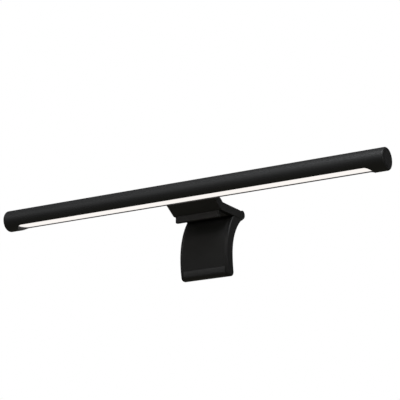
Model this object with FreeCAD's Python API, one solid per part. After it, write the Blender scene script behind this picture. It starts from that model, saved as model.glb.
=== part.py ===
import FreeCAD, Part
import math
import os

# Clip-on light bar: a long round lamp tube held by a magnetic seat on a clamp that straddles the top
# edge of an upright panel. Millimetres. +X runs along the tube, +Y points behind the panel, +Z is up.
# The origin is the middle of the pad that rests on the panel's top edge.

# ---- driving dimensions: lamp tube ----
BAR_LENGTH = 448.0
BAR_RADIUS = 11.5
BAR_Y = -37.0
BAR_Z = 17.0
BORE_RADIUS = 10.3
FLOOR_Z = -5.9
SLOT_HALF_WIDTH = 8.1
SLOT_END_MARGIN = 14.3
CAP_LENGTH = 3.0
CAP_ROUND = 2.0
CAP_PLUG_LENGTH = 5.0
CAP_PLUG_WALL = 1.4
CAP_GROOVE_RADIUS = 8.6
CAP_GROOVE_WIDTH = 0.5
CAP_GROOVE_DEPTH = 0.3
DIFFUSER_FACE_Z = -6.95
DIFFUSER_FLANGE = 1.2
DIFFUSER_OVERLAP = 0.3
REFLECTOR_FOOT = (6.9, 7.9)
REFLECTOR_TOP = (2.3, 3.4)
REFLECTOR_WALL = 0.7
REFLECTOR_TIE_HALF_WIDTH = 0.4
SLOT_FIT = 0.1
SPREADER_Z = (-0.8, 0.7)
SPREADER_HALF_WIDTH = 8.4
CHASSIS_POST_X = 212.3
CHASSIS_POST_Y = 5.0
CHASSIS_POST_RADIUS = 2.0
CHASSIS_SCREW_LENGTH = 5.0
LED_BOARD_Z = (-2.0, -0.8)
LED_BOARD_HALF_WIDTH = 5.5
LED_SIZE = (3.5, 2.8, 0.7)
LED_PITCH = 8.0
LED_COUNT = 50
BOARD_X = (-60.0, 62.0)
BOARD_Z = (2.2, 3.2)
BOARD_HALF_WIDTH = 7.6
BOARD_SCREW_XS = (-54.0, 40.0)
HEADER_X = -40.0
HEADER_HALF_LENGTH = 5.0
HEADER_HALF_WIDTH = 1.4
CHIP_X = -13.5
CHIP_SIZE = (5.0, 5.0, 0.93)
INDUCTOR_X = 3.0
INDUCTOR_SIZE = (6.0, 6.0, 2.8)
INDUCTOR_ROUND = 0.6
CAPACITOR_XS = (14.0, 20.0, 26.0)
CAPACITOR_RADIUS = 1.8
CAPACITOR_HEIGHT = 4.6
SOCKET_X = 54.0
SOCKET_SIZE = (8.94, 7.3, 3.16)
SOCKET_WALL = 0.3
SOCKET_BACK_WALL = 1.0
SOCKET_MOUTH_Y = 9.6
SOCKET_PORT_MARGIN = 0.2
TONGUE_SIZE = (6.6, 6.0, 0.7)
KEEPER_THICKNESS = 1.15
KEEPER_DEGREES = (-24.0, 46.0)
KEEPER_HALF_LENGTH = 24.0

# ---- driving dimensions: clamp ----
CLAMP_HALF_WIDTH = 28.4
PLATE_BOTTOM_Z = 0.4
PLATE_TOP_Z = 9.5
PLATE_REAR_Y = 26.8
ARM_SLOPE = math.radians(32.0)
NOSE_Y = -13.8
TOP_BEND_Y = -9.5
SEAT_GAP = 0.35
SEAT_HIGH_DEG = 50.0
SEAT_BACK_Y = -16.5
SEAT_TOP_Z = 27.8
SEAT_SHOULDER = 3.0
SEAT_HORN = 2.4
LINER_GAP = 0.3
LINER_THICKNESS = 0.9
COVER_THICKNESS = 1.6
COVER_HALF_WIDTH = 25.6
COVER_FIT = 0.1
COVER_REAR_MARGIN = 2.4
COVER_TOP_MARGIN = 5.0
ARM_CAVITY_HALF_WIDTH = 24.2
ARM_CAVITY_REAR_MARGIN = 5.0
ARM_CAVITY_TOP_MARGIN = 6.0
ARM_FLOOR_Z = 3.4
ARM_WALL = 2.2
ARM_PLATE_THICKNESS = 2.5
ARM_PLATE_HALF_WIDTH = 23.6
ARM_PLATE_FRONT_Y = -9.4
ARM_PLATE_REAR_MARGIN = 5.4
EDGE_ROUND = 0.6
LIP_HALF_WIDTH = 25.8
LIP_FRONT_Y = -13.6
LIP_BACK_Y = -10.1
LIP_BOTTOM_Z = -6.7
LIP_ROUND = 0.8
LIP_TENON_HALF_WIDTH = 20.0
LIP_TENON_TOP_Z = 2.2
LIP_PAD_HALF_WIDTH = 24.0
LIP_PAD_THICKNESS = 0.8
PAD_THICKNESS = 1.2
PAD_ROUND = 0.3
PAD_CORNER_ROUND = 1.5
REST_PAD_HALF = (24.0, 8.6)
MAGNET_SIZE = (9.0, 3.0, 8.0)
MAGNET_XS = (-19.5, -6.5, 6.5, 19.5)
MAGNET_FRONT_Y = BAR_Y + BAR_RADIUS + 2.1
YOKE_THICKNESS = 1.4
YOKE_HALF_WIDTH = 23.8
YOKE_HALF_HEIGHT = 4.5
LINER_SIDE_MARGIN = 3.0
LINER_END_DEG = 5.0
ARM_SCREW_XS = (-17.0, 17.0)
ARM_SCREW_YS = (-5.5, 5.5)

# ---- driving dimensions: hinge ----
HINGE_Y = 31.6
HINGE_Z = 5.7
KNUCKLE_RADIUS = 4.5
PIN_RADIUS = 1.5
PIN_HALF_LENGTH = 25.6
ARM_KNUCKLE = (12.3, 20.0)
LEG_KNUCKLE = (20.3, CLAMP_HALF_WIDTH)
BARREL_HALF_LENGTH = 12.0
BARREL_BORE = 3.1
BARREL_END_WALL = 1.6
BUSH_RADIUS = 2.4
BUSH_END_X = 25.0
RUNNING_FIT = 0.06
CAP_RADIUS = 2.6
CAP_INNER_X = 26.3
CAP_DIMPLE_RADIUS = 0.9
CAP_DIMPLE_DEPTH = 0.3
SPRING_WIRE = 1.1
SPRING_RADIUS = 2.35
SPRING_PITCH = 1.3
SPRING_TURNS = 12
SPRING_START_X = -9.6
SPRING_TAIL_X = (-11.7, 14.8)

# ---- driving dimensions: rear leg ----
# Side view: a crescent whose front and rear faces are two arcs each, upright at the face's crest.
LEG_TOP_Z = 0.1
LEG_BOTTOM_Z = -64.5
FRONT_CREST = (-1.0, -41.0)
FRONT_RADII = (70.0, 92.0)
REAR_CREST = (10.95, -40.0)
REAR_LOWER_RADIUS = 115.0
LEG_EDGE_ROUND = 1.5
TOE_FRONT_ROUND = 4.5
TOE_REAR_ROUND = 5.0
TOE_BEAD_AXIS = (21.6, -60.2)
TOE_BEAD_RADIUS = 22.0
TOE_BEAD_TOP_Z = -55.4
TOE_BEAD_REAR_Y = 6.0
TOE_BEAD_END_ROUND = 0.6
TOE_BEAD_LOW_RADIUS = 3.6
LEG_WEB_LOW_Z = -1.0
LEG_FRONT_WALL = 3.4
LEG_CAVITY_HALF_WIDTH = 24.0
LEG_CAVITY_Z = (-6.0, -56.8)
LEG_PAD_HALF_WIDTH = 24.6
LEG_PAD_Z = (-2.6, -55.2)
LEG_COVER_Z = (-3.6, -58.2)
WEIGHT_HALF_WIDTH = 23.6
WEIGHT_Z = (-9.0, -56.4)
WEIGHT_GAP = 0.2
LEG_SCREW_XS = (-17.0, 17.0)
LEG_SCREW_ZS = (-20.0, -48.0)

# ---- shared fastener sizes ----
SCREW_RADIUS = 1.0
SCREW_HEAD_RADIUS = 1.9
SCREW_HEAD_HEIGHT = 1.0
SCREW_SOCKET_RADIUS = 0.85
SCREW_SOCKET_DEPTH = 0.6
SCREW_SLOT_HALF_WIDTH = 0.25
SCREW_SLOT_DEPTH = 0.5
SCREW_END_GAP = 0.5
HEAD_CLEARANCE = 0.2
SHANK_CLEARANCE = 0.1
BOSS_RADIUS = 2.4
BOSS_CLEARANCE = 0.2
HOLE_FIT = 0.05
CONTACT_GAP = 0.02
OVERCUT = 1.0
TOLERANCE = 1e-4

X_AXIS = FreeCAD.Vector(1, 0, 0)
Y_AXIS = FreeCAD.Vector(0, 1, 0)
Z_AXIS = FreeCAD.Vector(0, 0, 1)
BAR_PLACE = FreeCAD.Vector(0, BAR_Y, BAR_Z)


# ---- small shape helpers ----
def block(x_range, y_range, z_range):
    size = [high - low for low, high in (x_range, y_range, z_range)]
    corner = FreeCAD.Vector(x_range[0], y_range[0], z_range[0])
    return Part.makeBox(*size, corner)


def centred_block(x, y, z_low, size):
    width, depth, height = size
    x_range = (x - width / 2, x + width / 2)
    return block(x_range, (y - depth / 2, y + depth / 2), (z_low, z_low + height))


def rod_x(radius, x_range, y, z):
    return Part.makeCylinder(radius, x_range[1] - x_range[0], FreeCAD.Vector(x_range[0], y, z), X_AXIS)


def rod_y(radius, y_range, x, z):
    return Part.makeCylinder(radius, y_range[1] - y_range[0], FreeCAD.Vector(x, y_range[0], z), Y_AXIS)


def rod_z(radius, z_range, x, y):
    return Part.makeCylinder(radius, z_range[1] - z_range[0], FreeCAD.Vector(x, y, z_range[0]), Z_AXIS)


def side_point(y, z):
    return FreeCAD.Vector(0, y, z)


def polar_point(radius, degrees, centre=(0.0, 0.0)):
    angle = math.radians(degrees)
    return side_point(centre[0] + radius * math.cos(angle), centre[1] + radius * math.sin(angle))


def line(start, end):
    return Part.LineSegment(start, end).toShape()


def arc(start, middle, end):
    return Part.Arc(start, middle, end).toShape()


def chain(points):
    return [line(a, b) for a, b in zip(points, points[1:])]


def prism_x(edges, x_range):
    """Extrude a closed outline, drawn in the YZ plane, along X."""
    face = Part.Face(Part.Wire(Part.__sortEdges__(edges)))
    face.translate(FreeCAD.Vector(x_range[0], 0, 0))
    return face.extrude(FreeCAD.Vector(x_range[1] - x_range[0], 0, 0))


def polygon_prism(points, x_range):
    corners = [side_point(y, z) for y, z in points]
    return prism_x(chain(corners + corners[:1]), x_range)


def ring_sector(inner, outer, degrees, x_range, centre=(0.0, 0.0)):
    """A curved plate: part of a ring about an axis along X."""
    low, high = degrees
    middle = (low + high) / 2
    outer_arc = arc(*[polar_point(outer, d, centre) for d in (low, middle, high)])
    inner_arc = arc(*[polar_point(inner, d, centre) for d in (high, middle, low)])
    ends = [line(polar_point(inner, d, centre), polar_point(outer, d, centre)) for d in (low, high)]
    return prism_x([outer_arc, inner_arc] + ends, x_range)


def stadium(half_length, half_width, z_range):
    """A slot-shaped slab with round ends, long along X."""
    arc_x = half_length - half_width
    slab = block((-arc_x, arc_x), (-half_width, half_width), z_range)
    ends = [rod_z(half_width, z_range, x, 0) for x in (-arc_x, arc_x)]
    return slab.fuse(ends).removeSplitter()


def both_sides(half_range, make):
    """Make the same thing on the -X and +X side, from one range of positive X."""
    low, high = half_range
    return [make((-high, -low)), make((low, high))]


def mirrored(shape, axis):
    return shape.mirror(FreeCAD.Vector(0, 0, 0), axis)


def round_edges(shape, radius, wanted):
    edges = [edge for edge in shape.Edges if wanted(edge)]
    return shape.makeFillet(radius, edges)


def hexagon_hole(radius, depth, mouth, inward):
    """A six-sided socket that goes in from its mouth."""
    wire = Part.Wire(Part.makePolygon([polar_point(radius, 60 * k) for k in range(7)]).Edges)
    prism = Part.Face(wire).extrude(X_AXIS * depth)
    prism.Placement = FreeCAD.Placement(mouth, FreeCAD.Rotation(X_AXIS, inward))
    return prism


def is_outline_edge(edge, half_width):
    box = edge.BoundBox
    return box.XLength < TOLERANCE and abs(abs(box.XMin) - half_width) < TOLERANCE


def save(name, shapes, offset=None):
    solids = shapes if isinstance(shapes, list) else [shapes]
    solids = [solid for shape in solids for solid in shape.Solids]
    for solid in solids:
        if not solid.isValid():
            raise ValueError(name + " holds an invalid solid")
    result = Part.makeCompound([s.copy() for s in solids]) if len(solids) > 1 else solids[0].copy()
    if offset is not None:
        result.translate(offset)
    result.exportStep(os.path.join("parts", name + ".step"))


# ---- lamp tube: drawn about its own axis, then moved to its place ----
def slot_half_length():
    return BAR_LENGTH / 2 - SLOT_END_MARGIN


def bore_profile(shrink, x_range):
    """The tube's inside: a round bore with a flat floor, smaller all round by shrink."""
    radius = BORE_RADIUS - shrink
    floor = FLOOR_Z + shrink
    half = math.sqrt(radius ** 2 - floor ** 2)
    wall = arc(side_point(half, floor), side_point(0, radius), side_point(-half, floor))
    return prism_x([wall, line(side_point(-half, floor), side_point(half, floor))], x_range)


def chassis_sites():
    xs = (-CHASSIS_POST_X, CHASSIS_POST_X)
    ys = (-CHASSIS_POST_Y, CHASSIS_POST_Y)
    return [(x, y) for x in xs for y in ys]


def bar_housing():
    end = BAR_LENGTH / 2 - CAP_LENGTH
    tube = rod_x(BAR_RADIUS, (-end, end), 0, 0)
    tube = tube.cut(bore_profile(0, (-end, end)))
    tube = tube.cut(stadium(slot_half_length(), SLOT_HALF_WIDTH, (-BAR_RADIUS - OVERCUT, FLOOR_Z + OVERCUT)))
    post_z = (FLOOR_Z - OVERCUT / 2, SPREADER_Z[0])
    tube = tube.fuse([rod_z(CHASSIS_POST_RADIUS, post_z, x, y) for x, y in chassis_sites()])
    hole_z = (SPREADER_Z[1] - CHASSIS_SCREW_LENGTH - SCREW_END_GAP, SPREADER_Z[1])
    holes = [rod_z(SCREW_RADIUS + HOLE_FIT, hole_z, x, y) for x, y in chassis_sites()]
    return tube.cut(holes + [socket_port()])


def socket_port():
    """The opening in the tube's rear wall that the power socket looks out of."""
    width, depth, height = SOCKET_SIZE
    margin = SOCKET_PORT_MARGIN
    x_range = (SOCKET_X - width / 2 - margin, SOCKET_X + width / 2 + margin)
    z_range = (BOARD_Z[1] - margin, BOARD_Z[1] + height + margin)
    return oval_block(x_range, (SOCKET_MOUTH_Y - depth, BAR_RADIUS + OVERCUT), z_range)


def end_cap(side):
    """A rounded disc with a ring groove on its face and a plug that fills the bore's end."""
    inner_x = BAR_LENGTH / 2 - CAP_LENGTH
    disc = rod_x(BAR_RADIUS, (inner_x, BAR_LENGTH / 2), 0, 0)
    disc = round_edges(disc, CAP_ROUND, lambda e: abs(e.BoundBox.XMin - BAR_LENGTH / 2) < TOLERANCE)
    groove_x = (BAR_LENGTH / 2 - CAP_GROOVE_DEPTH, BAR_LENGTH / 2 + OVERCUT)
    groove = rod_x(CAP_GROOVE_RADIUS, groove_x, 0, 0)
    groove = groove.cut(rod_x(CAP_GROOVE_RADIUS - CAP_GROOVE_WIDTH, groove_x, 0, 0))
    plug = bore_profile(SLOT_FIT, (inner_x - CAP_PLUG_LENGTH, inner_x + OVERCUT / 2))
    hollow = bore_profile(SLOT_FIT + CAP_PLUG_WALL, (inner_x - CAP_PLUG_LENGTH, inner_x))
    cap = disc.cut(groove).fuse(plug.cut(hollow))
    return mirrored(cap, X_AXIS) if side < 0 else cap


def diffuser():
    """Opal strip: its lit face sits inside the slot and its flange lies on the tube's floor."""
    half = slot_half_length() - SLOT_FIT
    strip = stadium(half, SLOT_HALF_WIDTH - SLOT_FIT, (DIFFUSER_FACE_Z, FLOOR_Z + DIFFUSER_OVERLAP))
    flange_z = (FLOOR_Z + CONTACT_GAP, FLOOR_Z + DIFFUSER_FLANGE)
    flange = stadium(half + DIFFUSER_OVERLAP, SLOT_HALF_WIDTH + SLOT_FIT, flange_z)
    return strip.fuse(flange).removeSplitter()


def reflector():
    """White trough that spreads the light from the diodes over the diffuser."""
    bottom = FLOOR_Z + DIFFUSER_FLANGE + SLOT_FIT
    rim = bottom + REFLECTOR_WALL
    top = LED_BOARD_Z[0] - HOLE_FIT
    inner_foot, outer_foot = REFLECTOR_FOOT
    inner_top, outer_top = REFLECTOR_TOP
    outline = [
        (outer_foot, bottom),
        (outer_foot, rim),
        (outer_top, top),
        (inner_top, top),
        (inner_top, top - REFLECTOR_WALL / 2),
        (inner_foot, bottom),
    ]
    half = CHASSIS_POST_X - CHASSIS_POST_RADIUS - OVERCUT
    wing = polygon_prism(outline, (-half, half))
    tie = REFLECTOR_TIE_HALF_WIDTH
    ties = []
    for x in (tie - half, half - tie):
        ties.append(block((x - tie, x + tie), (-outer_foot, outer_foot), (bottom, rim)))
    return wing.fuse([mirrored(wing, Y_AXIS)] + ties)


def led_board():
    half = CHASSIS_POST_X - CHASSIS_POST_RADIUS - 2 * OVERCUT
    return block((-half, half), (-LED_BOARD_HALF_WIDTH, LED_BOARD_HALF_WIDTH), LED_BOARD_Z)


def led_set(first):
    """Every second diode of the row, starting from the first or the second place."""
    start = -(LED_COUNT - 1) / 2 * LED_PITCH
    z = LED_BOARD_Z[0] - CONTACT_GAP - LED_SIZE[2]
    return [centred_block(start + place * LED_PITCH, 0, z, LED_SIZE) for place in range(first, LED_COUNT, 2)]


def heat_spreader():
    half = CHASSIS_POST_X + CHASSIS_POST_RADIUS
    plate = block((-half, half), (-SPREADER_HALF_WIDTH, SPREADER_HALF_WIDTH), SPREADER_Z)
    holes = [rod_z(SCREW_RADIUS + SHANK_CLEARANCE, SPREADER_Z, x, y) for x, y in chassis_sites()]
    slot_half = HEADER_HALF_LENGTH + OVERCUT
    slot_side = HEADER_HALF_WIDTH + OVERCUT / 2
    slot = block((HEADER_X - slot_half, HEADER_X + slot_half), (-slot_side, slot_side), SPREADER_Z)
    return plate.cut(holes + [slot])


def pan_screw_down(x, y, seat_z, length):
    """Screw that enters downwards, its head standing on seat_z."""
    head_top = seat_z + SCREW_HEAD_HEIGHT
    shank = rod_z(SCREW_RADIUS, (seat_z - length, seat_z), x, y)
    head = rod_z(SCREW_HEAD_RADIUS, (seat_z, head_top), x, y)
    slot_z = head_top - SCREW_SLOT_DEPTH
    reach = SCREW_HEAD_RADIUS - SCREW_SLOT_DEPTH
    slots = []
    for long, wide in ((reach, SCREW_SLOT_HALF_WIDTH), (SCREW_SLOT_HALF_WIDTH, reach)):
        slots.append(block((x - long, x + long), (y - wide, y + wide), (slot_z, head_top + OVERCUT)))
    return shank.fuse(head).cut(slots)


def chassis_screws():
    return [pan_screw_down(x, y, SPREADER_Z[1], CHASSIS_SCREW_LENGTH) for x, y in chassis_sites()]


def driver_board():
    board = block(BOARD_X, (-BOARD_HALF_WIDTH, BOARD_HALF_WIDTH), BOARD_Z)
    return board.cut([rod_z(SCREW_RADIUS + SHANK_CLEARANCE, BOARD_Z, x, 0) for x in BOARD_SCREW_XS])


def board_standoffs():
    posts = []
    for x in BOARD_SCREW_XS:
        post = rod_z(SCREW_HEAD_RADIUS, (SPREADER_Z[1], BOARD_Z[0]), x, 0)
        posts.append(post.cut(rod_z(SCREW_RADIUS + HOLE_FIT, (SPREADER_Z[1], BOARD_Z[0]), x, 0)))
    return posts


def board_screws():
    length = BOARD_Z[1] - SPREADER_Z[1] - SLOT_FIT
    return [pan_screw_down(x, 0, BOARD_Z[1], length) for x in BOARD_SCREW_XS]


def board_header():
    """Pin header that joins the driver board to the diode board through the spreader's slot."""
    x_range = (HEADER_X - HEADER_HALF_LENGTH, HEADER_X + HEADER_HALF_LENGTH)
    z_range = (LED_BOARD_Z[1] + CONTACT_GAP, BOARD_Z[0] - CONTACT_GAP)
    return block(x_range, (-HEADER_HALF_WIDTH, HEADER_HALF_WIDTH), z_range)


def driver_chip():
    return centred_block(CHIP_X, 0, BOARD_Z[1] + CONTACT_GAP, CHIP_SIZE)


def power_inductor():
    body = centred_block(INDUCTOR_X, 0, BOARD_Z[1] + CONTACT_GAP, INDUCTOR_SIZE)
    return round_edges(body, INDUCTOR_ROUND, lambda e: e.BoundBox.ZLength > TOLERANCE)


def board_capacitors():
    z_range = (BOARD_Z[1] + CONTACT_GAP, BOARD_Z[1] + CAPACITOR_HEIGHT)
    return [rod_z(CAPACITOR_RADIUS, z_range, x, 0) for x in CAPACITOR_XS]


def oval_block(x_range, y_range, z_range):
    """A flat block whose ends are round in the view along Y."""
    body = block(x_range, y_range, z_range)
    radius = (z_range[1] - z_range[0]) / 2 - HOLE_FIT
    return round_edges(body, radius, lambda e: e.BoundBox.YLength > TOLERANCE)


def power_socket():
    """Flat oval receptacle with a centre tongue, on the driver board's rear edge."""
    width, depth, height = SOCKET_SIZE
    low = BOARD_Z[1] + CONTACT_GAP
    back = SOCKET_MOUTH_Y - depth
    wall = SOCKET_WALL
    x_range = (SOCKET_X - width / 2, SOCKET_X + width / 2)
    body = oval_block(x_range, (back, SOCKET_MOUTH_Y), (low, low + height))
    hollow_x = (x_range[0] + wall, x_range[1] - wall)
    hollow_y = (back + SOCKET_BACK_WALL, SOCKET_MOUTH_Y + OVERCUT)
    hollow = oval_block(hollow_x, hollow_y, (low + wall, low + height - wall))
    tongue_z = low + (height - TONGUE_SIZE[2]) / 2
    tongue_y = back + (SOCKET_BACK_WALL + TONGUE_SIZE[1]) / 2
    return body.cut(hollow).fuse(centred_block(SOCKET_X, tongue_y, tongue_z, TONGUE_SIZE))


def keeper_plate():
    """Steel strip inside the tube's rear wall, which the seat's magnets pull on."""
    outer = BORE_RADIUS - HOLE_FIT
    x_range = (-KEEPER_HALF_LENGTH, KEEPER_HALF_LENGTH)
    return ring_sector(outer - KEEPER_THICKNESS, outer, KEEPER_DEGREES, x_range)


# ---- clamp arm ----
def upper_arm_z(y, inset=0.0):
    """Height of the arm's sloping upper face, or of a face lying inset below it."""
    return PLATE_TOP_Z + (TOP_BEND_Y - y) * math.tan(ARM_SLOPE) - inset / math.cos(ARM_SLOPE)


def lower_arm_z(y, inset=0.0):
    """Height of the arm's sloping lower face, or of a face lying inset above it."""
    return PLATE_BOTTOM_Z + (NOSE_Y - y) * math.tan(ARM_SLOPE) + inset / math.cos(ARM_SLOPE)


def seat_low_degrees(radius):
    """Where the arm's sloping lower face runs out on a circle about the tube's axis."""
    to_nose = (NOSE_Y - BAR_Y, PLATE_BOTTOM_Z - BAR_Z)
    distance = to_nose[0] * math.sin(ARM_SLOPE) + to_nose[1] * math.cos(ARM_SLOPE)
    return 90.0 - math.degrees(ARM_SLOPE) - math.degrees(math.acos(distance / radius))


def arm_outline():
    """Side view: seat for the tube, sloping neck, flat plate over the panel's top edge."""
    seat_radius = BAR_RADIUS + SEAT_GAP
    centre = (BAR_Y, BAR_Z)
    low = seat_low_degrees(seat_radius)
    angles = (low, (low + SEAT_HIGH_DEG) / 2, SEAT_HIGH_DEG)
    low_tip, seat_middle, high_tip = [polar_point(seat_radius, d, centre) for d in angles]
    horn = polar_point(seat_radius + SEAT_HORN, SEAT_HIGH_DEG, centre)
    corners = [
        low_tip,
        side_point(NOSE_Y, PLATE_BOTTOM_Z),
        side_point(PLATE_REAR_Y, PLATE_BOTTOM_Z),
        side_point(PLATE_REAR_Y, PLATE_TOP_Z),
        side_point(TOP_BEND_Y, PLATE_TOP_Z),
        side_point(SEAT_BACK_Y, upper_arm_z(SEAT_BACK_Y)),
        side_point(SEAT_BACK_Y, SEAT_TOP_Z - SEAT_SHOULDER),
        side_point(SEAT_BACK_Y - SEAT_SHOULDER, SEAT_TOP_Z),
        horn,
        high_tip,
    ]
    return chain(corners) + [arc(high_tip, seat_middle, low_tip)]


def cover_region(grow):
    """The lid's side outline: under the plate's top, down the neck and up the seat's back."""
    rear = PLATE_REAR_Y - COVER_REAR_MARGIN + grow
    top = SEAT_TOP_Z - COVER_TOP_MARGIN + grow
    inner_back = SEAT_BACK_Y - COVER_THICKNESS
    inner_top = PLATE_TOP_Z - COVER_THICKNESS
    bend = TOP_BEND_Y - COVER_THICKNESS * math.tan(ARM_SLOPE / 2)
    return [
        (rear, PLATE_TOP_Z),
        (TOP_BEND_Y, PLATE_TOP_Z),
        (SEAT_BACK_Y, upper_arm_z(SEAT_BACK_Y)),
        (SEAT_BACK_Y, top),
        (inner_back, top),
        (inner_back, upper_arm_z(inner_back, COVER_THICKNESS)),
        (bend, inner_top),
        (rear, inner_top),
    ]


def arm_cavity():
    """Room inside the arm for the steel plate, the yoke and the lid's bosses."""
    yoke_y = MAGNET_FRONT_Y + MAGNET_SIZE[1]
    inner_back = SEAT_BACK_Y - COVER_THICKNESS
    inner_top = PLATE_TOP_Z - COVER_THICKNESS
    bend = TOP_BEND_Y - COVER_THICKNESS * math.tan(ARM_SLOPE / 2)
    floor_bend = NOSE_Y + (lower_arm_z(NOSE_Y, ARM_WALL) - ARM_FLOOR_Z) / math.tan(ARM_SLOPE)
    rear = PLATE_REAR_Y - ARM_CAVITY_REAR_MARGIN
    top = SEAT_TOP_Z - ARM_CAVITY_TOP_MARGIN
    outline = [
        (rear, inner_top),
        (bend, inner_top),
        (inner_back, upper_arm_z(inner_back, COVER_THICKNESS)),
        (inner_back, top),
        (yoke_y, top),
        (yoke_y, lower_arm_z(yoke_y, ARM_WALL)),
        (floor_bend, ARM_FLOOR_Z),
        (rear, ARM_FLOOR_Z),
    ]
    return polygon_prism(outline, (-ARM_CAVITY_HALF_WIDTH, ARM_CAVITY_HALF_WIDTH))


def magnet_block(x, grow=0.0):
    width, depth, height = MAGNET_SIZE
    x_range = (x - width / 2 - grow, x + width / 2 + grow)
    z_range = (BAR_Z - height / 2 - grow, BAR_Z + height / 2 + grow)
    return block(x_range, (MAGNET_FRONT_Y - grow, MAGNET_FRONT_Y + depth), z_range)


def arm_knuckle(x_range):
    barrel = hinge_rod(KNUCKLE_RADIUS, x_range)
    web = block(x_range, (PLATE_REAR_Y - OVERCUT, HINGE_Y), (HINGE_Z - KNUCKLE_RADIUS, PLATE_TOP_Z))
    return barrel.fuse(web)


def liner_sector(inner, outer, margin):
    half = CLAMP_HALF_WIDTH - LINER_SIDE_MARGIN - margin
    low = seat_low_degrees(BAR_RADIUS + SEAT_GAP)
    end = LINER_END_DEG + math.degrees(margin / BAR_RADIUS)
    degrees = (low + end, SEAT_HIGH_DEG - end)
    return ring_sector(inner, outer, degrees, (-half, half), (BAR_Y, BAR_Z))


def arm_shell():
    body = prism_x(arm_outline(), (-CLAMP_HALF_WIDTH, CLAMP_HALF_WIDTH))
    body = round_edges(body, EDGE_ROUND, is_arm_rim)
    knuckles = both_sides(ARM_KNUCKLE, arm_knuckle)
    body = body.fuse(knuckles)
    body = body.cut(polygon_prism(cover_region(COVER_FIT), (-COVER_HALF_WIDTH, COVER_HALF_WIDTH)))
    body = body.cut(arm_cavity())
    body = body.cut([magnet_block(x, HOLE_FIT) for x in MAGNET_XS])
    liner_back = BAR_RADIUS + LINER_GAP + LINER_THICKNESS
    body = body.cut(liner_sector(BAR_RADIUS, liner_back + HOLE_FIT, 0.0))
    half_x, half_y = [value + SLOT_FIT for value in REST_PAD_HALF]
    body = body.cut(block((-half_x, half_x), (-half_y, half_y), (0, PAD_THICKNESS)))
    body = body.cut(lip_tenon(HOLE_FIT))
    for x, y in arm_screw_sites():
        head_room = (0, PAD_THICKNESS + SCREW_HEAD_HEIGHT)
        body = body.cut(rod_z(SCREW_HEAD_RADIUS + HEAD_CLEARANCE, head_room, x, y))
        body = body.cut(rod_z(SCREW_RADIUS + SHANK_CLEARANCE, (0, ARM_FLOOR_Z), x, y))
    pin_x = (-PIN_HALF_LENGTH, PIN_HALF_LENGTH)
    body = body.cut(hinge_rod(PIN_RADIUS + CONTACT_GAP, pin_x))
    return body.cut(spring_tail(ARM_KNUCKLE[0] - OVERCUT, SPRING_TAIL_X[1] + SLOT_FIT, SLOT_FIT))


def arm_screw_sites():
    return [(x, y) for x in ARM_SCREW_XS for y in ARM_SCREW_YS]


def is_arm_rim(edge):
    """The plate's, neck's and seat's long outline edges on both sides, seat edge left crisp."""
    if not is_outline_edge(edge, CLAMP_HALF_WIDTH):
        return False
    centre = edge.BoundBox.Center
    near_seat = math.hypot(centre.y - BAR_Y, centre.z - BAR_Z) < BAR_RADIUS + SEAT_SHOULDER
    at_rear = edge.BoundBox.YMin > PLATE_REAR_Y - TOLERANCE
    return not near_seat and not at_rear


def arm_cover():
    """Lid over the arm's cavity, with four bosses that take the screws."""
    half = COVER_HALF_WIDTH - COVER_FIT
    lid = polygon_prism(cover_region(0.0), (-half, half))
    boss_z = (ARM_FLOOR_Z + SLOT_FIT, PLATE_TOP_Z - COVER_THICKNESS / 2)
    lid = lid.fuse([rod_z(BOSS_RADIUS, boss_z, x, y) for x, y in arm_screw_sites()])
    hole_z = (ARM_FLOOR_Z, PLATE_TOP_Z - COVER_THICKNESS)
    return lid.cut([rod_z(SCREW_RADIUS + HOLE_FIT, hole_z, x, y) for x, y in arm_screw_sites()])


def cover_screws():
    """Screws that enter upwards from under the rest pad."""
    head_z = (PAD_THICKNESS + HOLE_FIT, PAD_THICKNESS + SCREW_HEAD_HEIGHT - CONTACT_GAP)
    tip_z = PLATE_TOP_Z - COVER_THICKNESS - SCREW_END_GAP
    screws = []
    for x, y in arm_screw_sites():
        shank = rod_z(SCREW_RADIUS, (head_z[1], tip_z), x, y)
        head = rod_z(SCREW_HEAD_RADIUS, head_z, x, y)
        mouth = FreeCAD.Vector(x, y, head_z[0])
        socket = hexagon_hole(SCREW_SOCKET_RADIUS, SCREW_SOCKET_DEPTH, mouth, Z_AXIS)
        screws.append(shank.fuse(head).cut(socket))
    return screws


def arm_plate():
    """Steel plate that stiffens the arm and adds weight over the panel."""
    z_range = (ARM_FLOOR_Z + CONTACT_GAP, ARM_FLOOR_Z + ARM_PLATE_THICKNESS)
    y_range = (ARM_PLATE_FRONT_Y, PLATE_REAR_Y - ARM_PLATE_REAR_MARGIN)
    plate = block((-ARM_PLATE_HALF_WIDTH, ARM_PLATE_HALF_WIDTH), y_range, z_range)
    return plate.cut([rod_z(BOSS_RADIUS + BOSS_CLEARANCE, z_range, x, y) for x, y in arm_screw_sites()])


def seat_magnets():
    return [magnet_block(x) for x in MAGNET_XS]


def magnet_yoke():
    """Steel plate behind the magnets, which closes their field."""
    front = MAGNET_FRONT_Y + MAGNET_SIZE[1] + CONTACT_GAP
    z_range = (BAR_Z - YOKE_HALF_HEIGHT, BAR_Z + YOKE_HALF_HEIGHT)
    return block((-YOKE_HALF_WIDTH, YOKE_HALF_WIDTH), (front, front + YOKE_THICKNESS), z_range)


def seat_liner():
    inner = BAR_RADIUS + LINER_GAP
    return liner_sector(inner, inner + LINER_THICKNESS, HOLE_FIT)


def lip_tenon(grow):
    """The lip's thinner top, or the slot for it, larger all round by grow."""
    half = LIP_TENON_HALF_WIDTH + grow
    setback = (LIP_BACK_Y - LIP_FRONT_Y) / 4
    y_range = (LIP_FRONT_Y + setback - grow, LIP_BACK_Y - setback + grow)
    return block((-half, half), y_range, (PLATE_BOTTOM_Z - 2 * CONTACT_GAP, LIP_TENON_TOP_Z + grow))


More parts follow.
